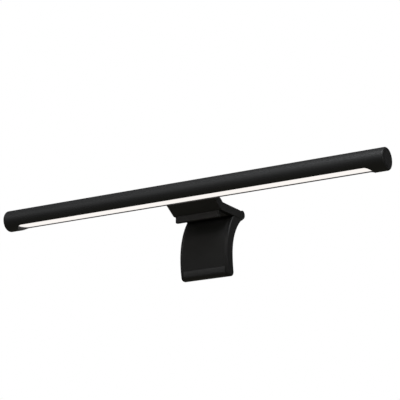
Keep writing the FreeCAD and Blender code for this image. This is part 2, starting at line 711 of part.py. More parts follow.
def front_lip():
    """Short hook that hangs in front of the panel, tenoned up into the arm."""
    y_range = (LIP_FRONT_Y, LIP_BACK_Y)
    lip = block((-LIP_HALF_WIDTH, LIP_HALF_WIDTH), y_range, (LIP_BOTTOM_Z, PLATE_BOTTOM_Z - CONTACT_GAP))
    lip = round_edges(lip, LIP_ROUND, lambda e: e.BoundBox.ZMax < LIP_BOTTOM_Z + TOLERANCE)
    return lip.fuse(lip_tenon(0.0))


def lip_pad():
    y_range = (LIP_BACK_Y + CONTACT_GAP, LIP_BACK_Y + LIP_PAD_THICKNESS)
    pad = block((-LIP_PAD_HALF_WIDTH, LIP_PAD_HALF_WIDTH), y_range, (LIP_BOTTOM_Z + LIP_ROUND, -PAD_ROUND))
    return round_edges(pad, PAD_ROUND, lambda e: e.BoundBox.YMin > y_range[1] - TOLERANCE)


def rest_pad():
    half_x, half_y = REST_PAD_HALF
    pad = block((-half_x, half_x), (-half_y, half_y), (0, PAD_THICKNESS - CONTACT_GAP))
    return round_edges(pad, PAD_CORNER_ROUND, lambda e: e.BoundBox.ZLength > TOLERANCE)


# ---- hinge ----
def hinge_rod(radius, x_range):
    return rod_x(radius, x_range, HINGE_Y, HINGE_Z)


def hinge_pin():
    pin = hinge_rod(PIN_RADIUS, (-PIN_HALF_LENGTH, PIN_HALF_LENGTH))
    return pin.makeChamfer(PIN_RADIUS / 5, pin.Edges)


def bush(x_range):
    return hinge_rod(BUSH_RADIUS, x_range).cut(hinge_rod(PIN_RADIUS + RUNNING_FIT, x_range))


def hinge_bushes():
    return both_sides((LEG_KNUCKLE[0], BUSH_END_X), bush)


def hinge_caps():
    """Round plugs that close the hinge bores on both sides of the clamp."""
    face_x = LEG_KNUCKLE[1]
    plug = hinge_rod(CAP_RADIUS, (CAP_INNER_X, face_x))
    plug = round_edges(plug, CAP_DIMPLE_DEPTH, lambda e: e.BoundBox.XMin > face_x - TOLERANCE)
    plug = plug.cut(hinge_rod(CAP_DIMPLE_RADIUS, (face_x - CAP_DIMPLE_DEPTH, face_x + OVERCUT)))
    return [plug, mirrored(plug, X_AXIS)]


def spring_tail(x_low, x_high, grow=0.0):
    """A straight end of the spring, along the hinge axis, or the hole that it fits in."""
    return rod_x(SPRING_WIRE / 2 + grow, (x_low, x_high), HINGE_Y + SPRING_RADIUS, HINGE_Z)


def torsion_spring():
    """Close-wound coil about the pin, with straight tails that enter the arm and the leg."""
    helix = Part.makeHelix(SPRING_PITCH, SPRING_PITCH * SPRING_TURNS, SPRING_RADIUS)
    start = FreeCAD.Vector(SPRING_RADIUS, 0, 0)
    ring = Part.Wire(Part.makeCircle(SPRING_WIRE / 2, start, Y_AXIS))
    coil = Part.Wire(helix).makePipeShell([ring], True, True)
    coil.rotate(FreeCAD.Vector(0, 0, 0), Y_AXIS, 90)
    coil.rotate(FreeCAD.Vector(0, 0, 0), X_AXIS, 90)
    coil.translate(FreeCAD.Vector(SPRING_START_X, HINGE_Y, HINGE_Z))
    end_x = SPRING_START_X + SPRING_PITCH * SPRING_TURNS
    elbows = []
    for x in (SPRING_START_X, end_x):
        elbows.append(Part.makeSphere(SPRING_WIRE / 2, FreeCAD.Vector(x, HINGE_Y + SPRING_RADIUS, HINGE_Z)))
    tails = [spring_tail(SPRING_TAIL_X[0], SPRING_START_X), spring_tail(end_x, SPRING_TAIL_X[1])]
    return coil.fuse(elbows + tails)


# ---- rear leg ----
def rear_upper_radius():
    """Radius with which the rear face's upper arc runs smoothly into the hinge's barrel."""
    to_crest = HINGE_Y - REAR_CREST[0]
    rise = HINGE_Z - REAR_CREST[1]
    return (to_crest ** 2 + rise ** 2 - KNUCKLE_RADIUS ** 2) / (2 * (to_crest + KNUCKLE_RADIUS))


REAR_RADII = (rear_upper_radius(), REAR_LOWER_RADIUS)


def curve_y(z, crest, radii, inset):
    """Y of a face made of two arcs that meet upright at its crest, moved back by inset."""
    radius = (radii[0] if z > crest[1] else radii[1]) - inset
    centre_y = crest[0] + inset + radius
    return centre_y - math.sqrt(radius ** 2 - (z - crest[1]) ** 2)


def curve_edges(z_from, z_to, crest, radii, inset):
    stops = [z_from, z_to]
    if min(stops) < crest[1] < max(stops):
        stops.insert(1, crest[1])
    edges = []
    for a, b in zip(stops, stops[1:]):
        heights = (a, (a + b) / 2, b)
        edges.append(arc(*[side_point(curve_y(z, crest, radii, inset), z) for z in heights]))
    return edges


def leg_front(z, inset=0.0):
    return curve_y(z, FRONT_CREST, FRONT_RADII, inset)


def leg_rear(z, inset=0.0):
    return curve_y(z, REAR_CREST, REAR_RADII, -inset)


def leg_band(z_range, half_width, front_inset, rear_inset):
    """A slice of the crescent between its front and rear faces, each moved inwards."""
    top, bottom = z_range
    edges = curve_edges(top, bottom, FRONT_CREST, FRONT_RADII, front_inset)
    edges += curve_edges(top, bottom, REAR_CREST, REAR_RADII, -rear_inset)
    for z in z_range:
        edges.append(line(side_point(leg_front(z, front_inset), z), side_point(leg_rear(z, rear_inset), z)))
    return prism_x(edges, (-half_width, half_width))


def leg_skin(z_range, half_width, near, far, is_front):
    """A sheet that follows the front or the rear face, between two depths below it."""
    face = leg_front if is_front else leg_rear
    crest, radii = (FRONT_CREST, FRONT_RADII) if is_front else (REAR_CREST, REAR_RADII)
    sign = 1 if is_front else -1
    edges = []
    for depth in (near, far):
        edges += curve_edges(z_range[0], z_range[1], crest, radii, sign * depth)
    for z in z_range:
        edges.append(line(side_point(face(z, near), z), side_point(face(z, far), z)))
    return prism_x(edges, (-half_width, half_width))


def leg_knuckle(x_range):
    """Barrel on the hinge axis with a web down into the crescent, its back one smooth curve."""
    arc_centre_y = REAR_CREST[0] + REAR_RADII[0]
    towards_arc = math.atan2(REAR_CREST[1] - HINGE_Z, arc_centre_y - HINGE_Y)
    tangent_z = HINGE_Z + KNUCKLE_RADIUS * math.sin(towards_arc)
    front = HINGE_Y - KNUCKLE_RADIUS
    corners = [
        side_point(leg_rear(LEG_WEB_LOW_Z), LEG_WEB_LOW_Z),
        side_point(front, LEG_WEB_LOW_Z),
        side_point(front, HINGE_Z),
        side_point(HINGE_Y, HINGE_Z),
        side_point(leg_rear(tangent_z), tangent_z),
    ]
    rear = curve_edges(tangent_z, LEG_WEB_LOW_Z, REAR_CREST, REAR_RADII, 0)
    return prism_x(rear + chain(corners), x_range).fuse(hinge_rod(KNUCKLE_RADIUS, x_range))


def is_toe_edge(edge, is_front):
    box = edge.BoundBox
    at_bottom = abs(box.ZMax - LEG_BOTTOM_Z) < TOLERANCE and box.XLength > CLAMP_HALF_WIDTH
    middle = (leg_front(LEG_BOTTOM_Z) + leg_rear(LEG_BOTTOM_Z)) / 2
    return at_bottom and (box.YMax < middle) == is_front


def is_leg_rim(edge):
    return is_outline_edge(edge, CLAMP_HALF_WIDTH) and edge.BoundBox.ZMin < LEG_TOP_Z - TOLERANCE


def toe_bead():
    """Soft swelling across the toe, just below the pad, that runs on into the underside."""
    big, small = TOE_BEAD_RADIUS, TOE_BEAD_LOW_RADIUS
    centre_y, centre_z = TOE_BEAD_AXIS
    rise = LEG_BOTTOM_Z + small - centre_z
    to_foot = math.degrees(math.atan2(rise, -math.sqrt((big - small) ** 2 - rise ** 2))) % 360
    foot = polar_point(big - small, to_foot, TOE_BEAD_AXIS)
    foot_centre = (foot.y, foot.z)
    top_degrees = 180 - math.degrees(math.asin((TOE_BEAD_TOP_Z - centre_z) / big))
    face = [polar_point(big, d, TOE_BEAD_AXIS) for d in (top_degrees, (top_degrees + to_foot) / 2, to_foot)]
    under = [polar_point(small, d, foot_centre) for d in (to_foot, (to_foot + 270) / 2, 270)]
    back = [side_point(TOE_BEAD_REAR_Y, LEG_BOTTOM_Z), side_point(TOE_BEAD_REAR_Y, TOE_BEAD_TOP_Z)]
    outline = [arc(*face), arc(*under)] + chain([under[-1]] + back + [face[0]])
    half = LEG_PAD_HALF_WIDTH
    bead = prism_x(outline, (-half, half))
    return round_edges(bead, TOE_BEAD_END_ROUND, lambda e: is_outline_edge(e, half) and is_arc(e))


def is_arc(edge):
    return isinstance(edge.Curve, Part.Circle)


def leg_blank():
    blank = leg_band((LEG_TOP_Z, LEG_BOTTOM_Z), CLAMP_HALF_WIDTH, 0, 0)
    blank = round_edges(blank, TOE_FRONT_ROUND, lambda e: is_toe_edge(e, True))
    blank = round_edges(blank, TOE_REAR_ROUND, lambda e: is_toe_edge(e, False))
    return round_edges(blank, LEG_EDGE_ROUND, is_leg_rim)


def screw_sites():
    return [(x, z) for x in LEG_SCREW_XS for z in LEG_SCREW_ZS]


def deepest_front(z, radius, inset):
    """The farthest back that the inset front face comes within a round spot."""
    return max(leg_front(z - radius, inset), leg_front(z + radius, inset))


def screw_seat_y(z):
    """Depth at which a leg screw's head is wholly below the pad's recess."""
    return deepest_front(z, SCREW_HEAD_RADIUS, PAD_THICKNESS) + SLOT_FIT


def leg_shell():
    shell = leg_blank().fuse(toe_bead())
    shell = shell.fuse(both_sides(LEG_KNUCKLE, leg_knuckle))
    shell = shell.fuse(leg_knuckle((-BARREL_HALF_LENGTH, BARREL_HALF_LENGTH)))
    shell = shell.cut(leg_band(LEG_CAVITY_Z, LEG_CAVITY_HALF_WIDTH, LEG_FRONT_WALL, COVER_THICKNESS))
    cover_z = (LEG_COVER_Z[0] + COVER_FIT, LEG_COVER_Z[1] - COVER_FIT)
    shell = shell.cut(leg_skin(cover_z, COVER_HALF_WIDTH, -OVERCUT, COVER_THICKNESS, False))
    pad_z = (LEG_PAD_Z[0] + SLOT_FIT, LEG_PAD_Z[1] - SLOT_FIT)
    shell = shell.cut(leg_skin(pad_z, LEG_PAD_HALF_WIDTH + SLOT_FIT, -OVERCUT, PAD_THICKNESS, True))
    for x, z in screw_sites():
        seat_y = screw_seat_y(z) + SCREW_HEAD_HEIGHT
        head_room = (leg_front(z), seat_y)
        shell = shell.cut(rod_y(SCREW_HEAD_RADIUS + HEAD_CLEARANCE, head_room, x, z))
        shell = shell.cut(rod_y(SCREW_RADIUS + SHANK_CLEARANCE, (seat_y, seat_y + LEG_FRONT_WALL), x, z))
    return shell.cut(hinge_bores())


def hinge_bores():
    """All that is bored along the hinge axis: pin, bushes, caps, the spring's room and its tail."""
    room_x = (BARREL_END_WALL - BARREL_HALF_LENGTH, BARREL_HALF_LENGTH)
    bores = [
        hinge_rod(PIN_RADIUS + RUNNING_FIT, (-CLAMP_HALF_WIDTH, CLAMP_HALF_WIDTH)),
        hinge_rod(BARREL_BORE, room_x),
        spring_tail(-BARREL_HALF_LENGTH, SPRING_START_X, SLOT_FIT),
    ]
    bush_x = (LEG_KNUCKLE[0] - OVERCUT, BUSH_END_X + SLOT_FIT)
    cap_x = (CAP_INNER_X - SLOT_FIT, LEG_KNUCKLE[1] + OVERCUT)
    bores += both_sides(bush_x, lambda x_range: hinge_rod(BUSH_RADIUS + CONTACT_GAP, x_range))
    bores += both_sides(cap_x, lambda x_range: hinge_rod(CAP_RADIUS + CONTACT_GAP, x_range))
    return bores


def leg_cover():
    """Curved back of the leg, with bosses that reach forward to the front wall."""
    lid = leg_skin(LEG_COVER_Z, COVER_HALF_WIDTH - COVER_FIT, 0, COVER_THICKNESS, False)
    for x, z in screw_sites():
        wall = deepest_front(z, BOSS_RADIUS, LEG_FRONT_WALL) + SLOT_FIT
        lid = lid.fuse(rod_y(BOSS_RADIUS, (wall, leg_rear(z, COVER_THICKNESS / 2)), x, z))
        lid = lid.cut(rod_y(SCREW_RADIUS + HOLE_FIT, (wall, leg_rear(z, COVER_THICKNESS)), x, z))
    return lid


def leg_screws():
    screws = []
    for x, z in screw_sites():
        head_y = screw_seat_y(z)
        seat_y = head_y + SCREW_HEAD_HEIGHT - CONTACT_GAP
        head = rod_y(SCREW_HEAD_RADIUS, (head_y, seat_y), x, z)
        shank = rod_y(SCREW_RADIUS, (seat_y, leg_rear(z, COVER_THICKNESS) - SCREW_END_GAP), x, z)
        mouth = FreeCAD.Vector(x, head_y, z)
        socket = hexagon_hole(SCREW_SOCKET_RADIUS, SCREW_SOCKET_DEPTH, mouth, Y_AXIS)
        screws.append(head.fuse(shank).cut(socket))
    return screws


def leg_pad():
    return leg_skin(LEG_PAD_Z, LEG_PAD_HALF_WIDTH, 0, PAD_THICKNESS - CONTACT_GAP, True)


def counterweight():
    front = LEG_FRONT_WALL + WEIGHT_GAP
    weight = leg_band(WEIGHT_Z, WEIGHT_HALF_WIDTH, front, COVER_THICKNESS + WEIGHT_GAP)
    depths = (leg_front(LEG_SCREW_ZS[0]), leg_rear(LEG_SCREW_ZS[0]))
    holes = [rod_y(BOSS_RADIUS + BOSS_CLEARANCE, depths, x, z) for x, z in screw_sites()]
    return weight.cut(holes)


# ---- write one STEP file per node ----
LIGHT_BAR = {
    "bar_housing": bar_housing,
    "end_cap_left": lambda: end_cap(-1),
    "end_cap_right": lambda: end_cap(1),
    "diffuser": diffuser,
    "reflector": reflector,
    "led_board": led_board,
    "leds_warm": lambda: led_set(0),
    "leds_cool": lambda: led_set(1),
    "heat_spreader": heat_spreader,
    "chassis_screws": chassis_screws,
    "driver_board": driver_board,
    "board_standoffs": board_standoffs,
    "board_screws": board_screws,
    "board_header": board_header,
    "driver_chip": driver_chip,
    "power_inductor": power_inductor,
    "board_capacitors": board_capacitors,
    "power_socket": power_socket,
    "keeper_plate": keeper_plate,
}

CLAMP = {
    "arm_shell": arm_shell,
    "arm_cover": arm_cover,
    "cover_screws": cover_screws,
    "arm_plate": arm_plate,
    "seat_magnets": seat_magnets,
    "magnet_yoke": magnet_yoke,
    "seat_liner": seat_liner,
    "front_lip": front_lip,
    "lip_pad": lip_pad,
    "rest_pad": rest_pad,
    "hinge_pin": hinge_pin,
    "torsion_spring": torsion_spring,
}

REAR_LEG = {
    "leg_shell": leg_shell,
    "leg_cover": leg_cover,
    "leg_screws": leg_screws,
    "leg_pad": leg_pad,
    "counterweight": counterweight,
    "hinge_bushes": hinge_bushes,
    "hinge_caps": hinge_caps,
}

os.makedirs("parts", exist_ok=True)
for node, make in LIGHT_BAR.items():
    save(node, make(), BAR_PLACE)
for node, make in list(CLAMP.items()) + list(REAR_LEG.items()):
    save(node, make())
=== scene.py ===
import math

import bmesh
import bpy
from mathutils import Matrix, Vector


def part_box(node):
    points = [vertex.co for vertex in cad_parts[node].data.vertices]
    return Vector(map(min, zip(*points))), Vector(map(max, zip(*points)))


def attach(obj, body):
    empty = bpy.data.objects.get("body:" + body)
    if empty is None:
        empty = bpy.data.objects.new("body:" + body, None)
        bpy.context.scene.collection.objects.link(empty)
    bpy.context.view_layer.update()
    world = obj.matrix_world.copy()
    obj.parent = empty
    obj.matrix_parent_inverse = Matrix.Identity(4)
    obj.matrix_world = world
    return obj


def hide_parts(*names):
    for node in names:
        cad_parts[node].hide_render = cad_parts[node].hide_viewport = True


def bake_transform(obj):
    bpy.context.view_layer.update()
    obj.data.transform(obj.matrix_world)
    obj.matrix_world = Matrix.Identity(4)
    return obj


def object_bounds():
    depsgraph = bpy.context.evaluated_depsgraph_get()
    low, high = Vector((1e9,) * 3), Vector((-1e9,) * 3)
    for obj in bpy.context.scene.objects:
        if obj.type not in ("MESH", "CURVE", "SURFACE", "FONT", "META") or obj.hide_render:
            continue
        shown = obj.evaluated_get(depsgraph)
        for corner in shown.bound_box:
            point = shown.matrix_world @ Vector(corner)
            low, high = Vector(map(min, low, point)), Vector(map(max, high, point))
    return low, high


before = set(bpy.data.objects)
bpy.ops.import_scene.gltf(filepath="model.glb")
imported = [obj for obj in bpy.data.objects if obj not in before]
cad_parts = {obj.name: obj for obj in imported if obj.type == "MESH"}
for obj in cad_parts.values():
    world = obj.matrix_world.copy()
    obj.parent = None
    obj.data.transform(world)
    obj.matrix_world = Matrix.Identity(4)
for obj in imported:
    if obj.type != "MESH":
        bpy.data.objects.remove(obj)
CAD_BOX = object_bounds()

# Camera: where the object is seen from, in degrees and metres of the part's frame.
CAMERA_AZIMUTH = 30.7
CAMERA_ELEVATION = -16.0
CAMERA_DISTANCE = 1.5755
CAMERA_AIM = Vector((0.0117, -0.0275, 0.0096))
CAMERA_LENS = 139.5

# Stage: a pale floor well under the object, lengths in metres.
FLOOR_DEPTH = 1.5
FLOOR_RADIUS = 40.0
FLOOR_SHADE = 0.86
FLOOR_GLOW = 0.6

# Surroundings: how strongly they light each side, and how their light turns warm below the horizon.
FRONT_LIGHT = 0.08
BACK_LIGHT = 0.04
SIDE_LIGHT = 0.02
UNDER_LIGHT = 0.06
LEVEL_WARMTH = 0.4
WARMTH_SLOPE = -1.2
WHITE = (1.0, 1.0, 1.0, 1.0)
WARM = (1.0, 0.96, 0.80, 1.0)

# Soft lights: name, azimuth and elevation in degrees, distance and size in metres, power and colour.
COOL = (0.96, 0.98, 1.0)
NEUTRAL = (1.0, 1.0, 1.0)
SOFT_LIGHTS = [
    ("key", 24, 58, 1.8, (1.8, 0.9), 21.0, COOL),
    ("fill", -30, 30, 1.8, (1.8, 0.9), 2.7, NEUTRAL),
    ("top", 0, 85, 1.6, (2.2, 1.2), 1.6, NEUTRAL),
    ("rear", 190, 25, 1.8, (2.0, 1.0), 1.6, NEUTRAL),
    ("side", 65, 5, 1.8, (0.5, 1.0), 1.9, NEUTRAL),
]

# Small parts of the driver board and the power socket, in millimetres.
CONTACT_SIZE = (0.36, 3.6, 0.06)
CONTACT_PITCH = 0.72
CONTACT_COUNT = 8
CONTACT_SETBACK = 1.2
TONGUE_THICKNESS = 0.7
LEG_SIZE = (0.24, 0.55, 0.14)
LEG_PITCH = 0.65
LEG_COUNT = 7
PASSIVE_SIZE = (1.2, 0.85, 0.5)
PASSIVE_PITCH = 3.2
PASSIVE_OFFSET = 4.9
PASSIVE_COUNT = 6

# Rounding of a small block, as a share of its shortest side, and a resistor's cap, as a share of its width.
BLOCK_ROUNDING = 0.2
CAP_SHARE = 0.3

MM = 0.001


class Surface:
    """A Principled material being built, textured in the object's own coordinates."""

    def __init__(self, name, **sockets):
        self.material = bpy.data.materials.new(name)
        self.material.use_nodes = True
        self.nodes = self.material.node_tree.nodes
        self.links = self.material.node_tree.links
        self.shader = self.nodes["Principled BSDF"]
        for socket, value in sockets.items():
            self.shader.inputs[socket.replace("_", " ")].default_value = value
        self.place = self.nodes.new("ShaderNodeTexCoord").outputs["Object"]

    def add(self, kind, values=None, **settings):
        """A new node with its settings, and its inputs set or linked."""
        node = self.nodes.new(kind)
        for setting, value in settings.items():
            setattr(node, setting, value)
        for socket, value in (values or {}).items():
            self.feed(node.inputs[socket], value)
        return node

    def feed(self, socket, value):
        """Link the value if it comes from a node, or else set it."""
        if isinstance(value, bpy.types.NodeSocket):
            self.links.new(value, socket)
        else:
            socket.default_value = value

    def noise(self, grain, detail=2.0, rough=0.5, stretch=(1, 1, 1)):
        """Noise whose grains are about that many millimetres across, from 0 to 1."""
        place = self.add("ShaderNodeMapping", {"Vector": self.place, "Scale": stretch})
        values = {
            "Vector": place.outputs["Vector"],
            "Scale": 1 / (grain * MM),
            "Detail": detail,
            "Roughness": rough,
        }
        return self.add("ShaderNodeTexNoise", values).outputs["Fac"]

    def cells(self, grain):
        """Distance from the nearest of scattered points about that many millimetres apart."""
        values = {"Vector": self.place, "Scale": 1 / (grain * MM)}
        return self.add("ShaderNodeTexVoronoi", values).outputs["Distance"]

    def remap(self, value, low, high, out_low=0.0, out_high=1.0):
        """The value stretched so that low and high become out_low and out_high, and held between them."""
        values = {"Value": value, "From Min": low, "From Max": high, "To Min": out_low, "To Max": out_high}
        return self.add("ShaderNodeMapRange", values).outputs["Result"]

    def math(self, operation, a, b=0.0):
        return self.add("ShaderNodeMath", {0: a, 1: b}, operation=operation).outputs["Value"]

    def blend(self, factor, a, b):
        """Colour a where factor is 0 and colour b where it is 1."""
        values = {"Factor": factor, 6: a, 7: b}
        return self.add("ShaderNodeMix", values, data_type="RGBA").outputs[2]

    def mottled(self, broad, fine, roughness, broad_range, fine_range):
        """Roughness that rises with a broad pattern and wavers with a fine one."""
        broad_part = self.remap(broad, 0.3, 0.7, roughness, roughness + broad_range)
        return self.math("ADD", broad_part, self.remap(fine, 0.2, 0.8, -fine_range, fine_range))

    def edges(self, radius, low=0.002, high=0.05):
        """1 on edges rounder than the mesh beside them, 0 on flat ground."""
        true_normal = self.add("ShaderNodeNewGeometry").outputs["Normal"]
        soft = self.add("ShaderNodeBevel", {"Radius": radius * MM}, samples=6).outputs["Normal"]
        dot = self.add("ShaderNodeVectorMath", {0: true_normal, 1: soft}, operation="DOT_PRODUCT")
        return self.remap(self.math("SUBTRACT", 1.0, dot.outputs["Value"]), low, high)

    def bump(self, height, depth, below=None):
        """Relief whose full height is depth millimetres, laid over the relief below."""
        values = {"Height": height, "Distance": depth * MM, "Strength": 1.0}
        if below is not None:
            values["Normal"] = below
        return self.add("ShaderNodeBump", values).outputs["Normal"]

    def finish(self, **sockets):
        """Put the patterns on the shader's sockets and hand over the material."""
        for socket, value in sockets.items():
            self.feed(self.shader.inputs[socket.replace("_", " ")], value)
        return self.material


def grey(value, tint=(1.0, 1.0, 1.0)):
    """An opaque grey, or nearly grey where it is tinted."""
    return tuple(value * part for part in tint) + (1.0,)


def tube_coat():
    """Fine matt powder coat on aluminium, near black with a cool cast."""
    s = Surface("tube_coat", Specular_IOR_Level=0.5)
    clouds = s.noise(60.0, detail=3.0)
    grain = s.noise(0.35, detail=3.0, rough=0.6)
    flecks = s.remap(s.noise(0.9, detail=1.0), 0.62, 0.80)
    ground = s.blend(clouds, grey(0.021, (1.0, 1.02, 1.07)), grey(0.026, (1.0, 1.01, 1.04)))
    worn = s.math("MULTIPLY", s.edges(0.7), s.remap(s.noise(4.0), 0.35, 0.75))
    colour = s.blend(s.math("MULTIPLY", flecks, 0.5), ground, grey(0.034))
    colour = s.blend(s.math("MULTIPLY", worn, 0.5), colour, grey(0.055))
    rough = s.mottled(clouds, grain, 0.41, 0.06, 0.04)
    relief = s.bump(grain, 0.03, s.bump(s.noise(2.2), 0.02))
    return s.finish(Base_Color=colour, Roughness=rough, Normal=relief)


def moulded_plastic(name, shade, roughness, grain_size, depth):
    """Textured moulded plastic, a little shinier and paler along its edges."""
    s = Surface(name, Specular_IOR_Level=0.5)
    clouds = s.noise(25.0, detail=3.0)
    grain = s.noise(grain_size, detail=4.0, rough=0.65)
    pits = s.remap(s.cells(grain_size * 1.6), 0.05, 0.5)
    ground = s.blend(clouds, grey(shade * 0.9), grey(shade * 1.1))
    worn = s.math("MULTIPLY", s.edges(0.6), s.remap(s.noise(3.0), 0.35, 0.7))
    colour = s.blend(s.math("MULTIPLY", worn, 0.5), ground, grey(shade * 1.9))
    rough = s.mottled(clouds, grain, roughness, 0.05, 0.04)
    rough = s.math("SUBTRACT", rough, s.math("MULTIPLY", worn, 0.08))
    relief = s.bump(grain, depth, s.bump(pits, depth * 0.6))
    return s.finish(Base_Color=colour, Roughness=rough, Normal=relief)


def grip_rubber():
    """Soft matt silicone with a dusting of lint."""
    s = Surface("grip_rubber", Specular_IOR_Level=0.35, Sheen_Weight=0.15, Sheen_Roughness=0.6)
    clouds = s.noise(12.0, detail=4.0)
    grain = s.noise(0.25, detail=2.0)
    lint = s.remap(s.noise(0.5, detail=3.0, rough=0.8), 0.70, 0.80)
    ground = s.blend(clouds, grey(0.018), grey(0.024))
    colour = s.blend(s.math("MULTIPLY", lint, 0.35), ground, grey(0.09))
    rough = s.remap(clouds, 0.3, 0.7, 0.74, 0.84)
    relief = s.bump(grain, 0.02, s.bump(s.noise(3.0), 0.04))
    return s.finish(Base_Color=colour, Roughness=rough, Normal=relief)


def opal():
    """Lit opal strip: even and warm white, wavering a little at random."""
    s = Surface("opal", Roughness=0.45, Specular_IOR_Level=0.4, Emission_Strength=0.92)
    frost = s.noise(0.2, detail=2.0)
    glow = s.remap(s.noise(20.0), 0.2, 0.8)
    light = s.blend(glow, (1.0, 0.955, 0.925, 1.0), (1.0, 0.965, 0.94, 1.0))
    relief = s.bump(frost, 0.01)
    return s.finish(Base_Color=(0.6, 0.59, 0.57, 1.0), Emission_Color=light, Normal=relief)


def metal(name, colour, roughness, grain_size, depth, stretch=(1, 1, 1)):
    """Bare or plated metal with rolling or casting marks and a dull bloom."""
    s = Surface(name, Metallic=1.0)
    marks = s.noise(grain_size, detail=4.0, rough=0.6, stretch=stretch)
    bloom = s.noise(6.0, detail=3.0)
    dull = tuple(part * 0.72 for part in colour)
    tone = s.blend(s.remap(bloom, 0.3, 0.75), (*colour, 1.0), (*dull, 1.0))
    rough = s.mottled(bloom, marks, roughness, 0.12, 0.05)
    return s.finish(Base_Color=tone, Roughness=rough, Normal=s.bump(marks, depth))


def smooth_solid(name, dark, light, roughness, grain_size=0.4, depth=0.01):
    """Moulded or lacquered solid with mottled colour and a fine skin."""
    s = Surface(name)
    mottle = s.noise(3.0, detail=4.0)
    grain = s.noise(grain_size, detail=3.0)
    colour = s.blend(s.remap(mottle, 0.3, 0.7), (*dark, 1.0), (*light, 1.0))
    rough = s.mottled(mottle, grain, roughness, 0.08, 0.03)
    return s.finish(Base_Color=colour, Roughness=rough, Normal=s.bump(grain, depth))


def materials():
    """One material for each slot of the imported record."""
    made = [
        tube_coat(),
        moulded_plastic("cap_plastic", 0.022, 0.42, 0.30, 0.015),
        moulded_plastic("clamp_plastic", 0.021, 0.48, 0.35, 0.03),
        grip_rubber(),
        opal(),
        smooth_solid("white_plastic", (0.78, 0.78, 0.76), (0.86, 0.86, 0.84), 0.35),
        smooth_solid("board_white", (0.72, 0.73, 0.71), (0.80, 0.81, 0.79), 0.40),
        smooth_solid("board_green", (0.012, 0.075, 0.035), (0.020, 0.105, 0.050), 0.30),
        smooth_solid("led_warm", (0.80, 0.42, 0.06), (0.90, 0.52, 0.10), 0.30),
        smooth_solid("led_cool", (0.85, 0.75, 0.20), (0.92, 0.84, 0.30), 0.30),
        smooth_solid("black_component", (0.012, 0.012, 0.013), (0.022, 0.022, 0.024), 0.50),
        smooth_solid("ferrite", (0.035, 0.034, 0.034), (0.060, 0.058, 0.057), 0.70, 0.25, 0.03),
        smooth_solid("bush_plastic", (0.66, 0.64, 0.58), (0.74, 0.72, 0.66), 0.45),
        smooth_solid("cast_weight", (0.030, 0.029, 0.028), (0.055, 0.052, 0.050), 0.62, 0.6, 0.06),
        metal("can_aluminium", (0.80, 0.80, 0.80), 0.28, 0.3, 0.004, (1, 1, 6)),
        metal("spreader_aluminium", (0.74, 0.75, 0.76), 0.35, 0.25, 0.006, (0.04, 1, 1)),
        metal("brass", (0.72, 0.52, 0.22), 0.30, 0.2, 0.004, (1, 1, 8)),
        metal("zinc_steel", (0.60, 0.61, 0.62), 0.34, 0.3, 0.005),
        metal("black_steel", (0.055, 0.055, 0.058), 0.42, 0.3, 0.006),
        metal("nickel", (0.66, 0.64, 0.60), 0.20, 0.4, 0.003),
    ]
    return {material.name: material for material in made}


def dress_nodes():
    """Every CAD node keeps its shape and takes the detailed material of its slot."""
    plain = {node.name: node.data.materials[0].name.split(".")[0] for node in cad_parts.values()}
    for material in list(bpy.data.materials):
        material.name = "plain_" + material.name
    looks = materials()
    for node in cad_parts.values():
        node.material_slots[0].link = "OBJECT"
        node.material_slots[0].material = looks[plain[node.name]]
    return looks


def small_blocks(name, slot, looks, centres, size):
    """Many equal rounded blocks in one mesh, in millimetres, such as contacts or chips on a board."""
    shape = bmesh.new()
    stretch = Matrix.Diagonal([side * MM for side in size]).to_4x4()
    for centre in centres:
        place = Matrix.Translation(Vector(centre) * MM) @ stretch
        bmesh.ops.create_cube(shape, size=1.0, matrix=place)
    rounding = min(size) * BLOCK_ROUNDING * MM
    bmesh.ops.bevel(shape, geom=shape.edges[:], offset=rounding, segments=2, affect="EDGES", profile=0.5)
    mesh = bpy.data.meshes.new(name)
    shape.to_mesh(mesh)
    shape.free()
    mesh.materials.append(looks[slot])
    piece = bpy.data.objects.new(name, mesh)
    bpy.context.scene.collection.objects.link(piece)
    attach(piece, "light_bar")


def node_box(node):
    """Lowest corner, highest corner and middle of a CAD node, in millimetres."""
    low, high = [Vector(corner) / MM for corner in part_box(node)]
    return low, high, (low + high) / 2


def socket_contacts(looks):
    """Two rows of flat contacts on the tongue inside the power socket."""
    _, high, middle = node_box("power_socket")
    length = CONTACT_SIZE[1]
    y = high.y - CONTACT_SETBACK - length / 2
    start = middle.x - (CONTACT_COUNT - 1) / 2 * CONTACT_PITCH
    rows = [middle.z + side * (TONGUE_THICKNESS + CONTACT_SIZE[2]) / 2 for side in (-1, 1)]
    centres = [(start + k * CONTACT_PITCH, y, z) for k in range(CONTACT_COUNT) for z in rows]
    small_blocks("socket_contacts", "brass", looks, centres, CONTACT_SIZE)


def twisting_spring(looks):
    """A copy of the torsion spring in zinc-plated steel, in place of its CAD node and fixed where it stands
    at rest; on the clamp one end is held by the clamp and the other turns with the leg.
    """
    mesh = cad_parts["torsion_spring"].data.copy()
    mesh.materials.clear()
    mesh.materials.append(looks["zinc_steel"])
    spring = bpy.data.objects.new("spring_wire", mesh)
    bpy.context.scene.collection.objects.link(spring)
    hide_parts("torsion_spring")
    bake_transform(spring)


def chip_legs(looks):
    """Rows of soldered legs on the four sides of the driver chip."""
    low, high, middle = node_box("driver_chip")
    z = low.z + LEG_SIZE[2] / 2
    steps = [(k - (LEG_COUNT - 1) / 2) * LEG_PITCH for k in range(LEG_COUNT)]
    reach = LEG_SIZE[1] / 2
    across = [(middle.x + s, y, z) for s in steps for y in (low.y - reach, high.y + reach)]
    along = [(x, middle.y + s, z) for s in steps for x in (low.x - reach, high.x + reach)]
    small_blocks("chip_legs_across", "zinc_steel", looks, across, LEG_SIZE)
    small_blocks("chip_legs_along", "zinc_steel", looks, along, (LEG_SIZE[1], LEG_SIZE[0], LEG_SIZE[2]))


